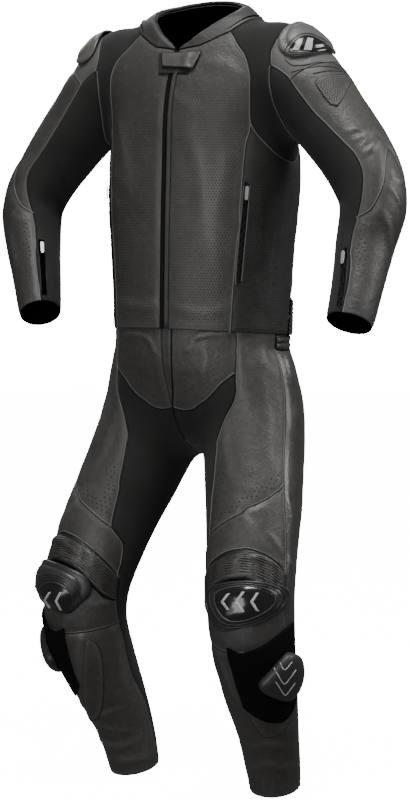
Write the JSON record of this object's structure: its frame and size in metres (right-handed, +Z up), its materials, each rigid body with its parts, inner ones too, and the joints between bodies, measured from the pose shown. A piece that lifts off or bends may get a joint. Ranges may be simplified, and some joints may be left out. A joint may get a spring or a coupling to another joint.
{
  "type": "motorcycle race suit",
  "caption": "Two-piece leather motorcycle race suit, worn and hollow: a stand-collar jacket with bent sleeves over trousers with knee shells and sliders.",
  "frame": {"origin": "middle plane at the base of the neck, level with the shoulders that carry the suit", "axes": "+Z up, the wearer faces -Y, the wearer's left is +X"},
  "size_m": [0.8521, 0.3709, 1.4528],
  "materials": {
    "leather": "semi-gloss grained charcoal",
    "leather_soft": "softer grained charcoal",
    "stretch": "matt woven stretch",
    "gloss": "high gloss",
    "rubber": "satin moulded",
    "loop": "matt loop pile",
    "zip": "coated zip tape",
    "metal": "dark nickel"
  },
  "bodies": {
    "suit": {"calf_left": "leather_soft", "calf_right": "leather_soft", "centre_zip": "zip", "collar": "leather", "crotch_front_left": "leather", "crotch_front_right": "leather", "cuff_zip_left": "zip", "cuff_zip_right": "zip", "fly": "leather", "hip_pleats_left": "leather_soft", "hip_pleats_right": "leather_soft", "hip_side_left": "leather_soft", "hip_side_right": "leather_soft", "inner_stretch_left": "stretch", "inner_stretch_right": "stretch", "jacket_back": "leather_soft", "jacket_front_left": "leather", "jacket_front_right": "leather", "jacket_pleats_left": "leather_soft", "jacket_pleats_right": "leather_soft", "jacket_side_left": "leather_soft", "jacket_side_right": "leather_soft", "knee_base_left": "leather_soft", "knee_base_right": "leather_soft", "knee_pleats_left": "leather_soft", "knee_pleats_right": "leather_soft", "knee_shell_left": "gloss", "knee_shell_right": "gloss", "knee_top_left": "leather_soft", "knee_top_right": "leather_soft", "neck_placket": "stretch", "neck_tab": "leather", "pocket_zip_left": "zip", "pocket_zip_right": "zip", "puck_field_left": "loop", "puck_field_right": "loop", "puck_left": "rubber", "puck_right": "rubber", "seat_left": "leather_soft", "seat_right": "leather_soft", "shin_left": "leather", "shin_right": "leather", "shoulder_cap_left": "leather", "shoulder_cap_right": "leather", "shoulder_shell_left": "rubber", "shoulder_shell_right": "rubber", "shoulder_stretch_left": "stretch", "shoulder_stretch_right": "stretch", "sleeve_forearm_left": "leather_soft", "sleeve_forearm_right": "leather_soft", "sleeve_inner_left": "stretch", "sleeve_inner_right": "stretch", "sleeve_upper_left": "leather", "sleeve_upper_right": "leather", "thigh_left": "leather", "thigh_right": "leather"},
    "cuff_pull_left": {"cuff_pull_left": "metal"},
    "cuff_pull_right": {"cuff_pull_right": "metal"},
    "pocket_pull_left": {"pocket_pull_left": "metal"},
    "pocket_pull_right": {"pocket_pull_right": "metal"}
  },
  "joints": [
    {"name": "cuff_pull_left_hinge", "type": "hinge", "parent": "suit", "child": "cuff_pull_left", "pos_m": [0.35704, -0.11704, -0.39695], "axis": [-0.9705, 0.1184, -0.2098], "range_deg": [0, 120]},
    {"name": "cuff_pull_right_hinge", "type": "hinge", "parent": "suit", "child": "cuff_pull_right", "pos_m": [-0.2965, -0.09646, -0.38953], "axis": [-0.6416, -0.7597, 0.1062], "range_deg": [0, 120]},
    {"name": "pocket_pull_left_hinge", "type": "hinge", "parent": "suit", "child": "pocket_pull_left", "pos_m": [0.15015, -0.09378, -0.28605], "axis": [-0.705, -0.7045, 0.0817], "range_deg": [0, 120]},
    {"name": "pocket_pull_right_hinge", "type": "hinge", "parent": "suit", "child": "pocket_pull_right", "pos_m": [-0.15016, -0.09378, -0.28605], "axis": [-0.7051, 0.7044, -0.0817], "range_deg": [0, 120]}
  ]
}
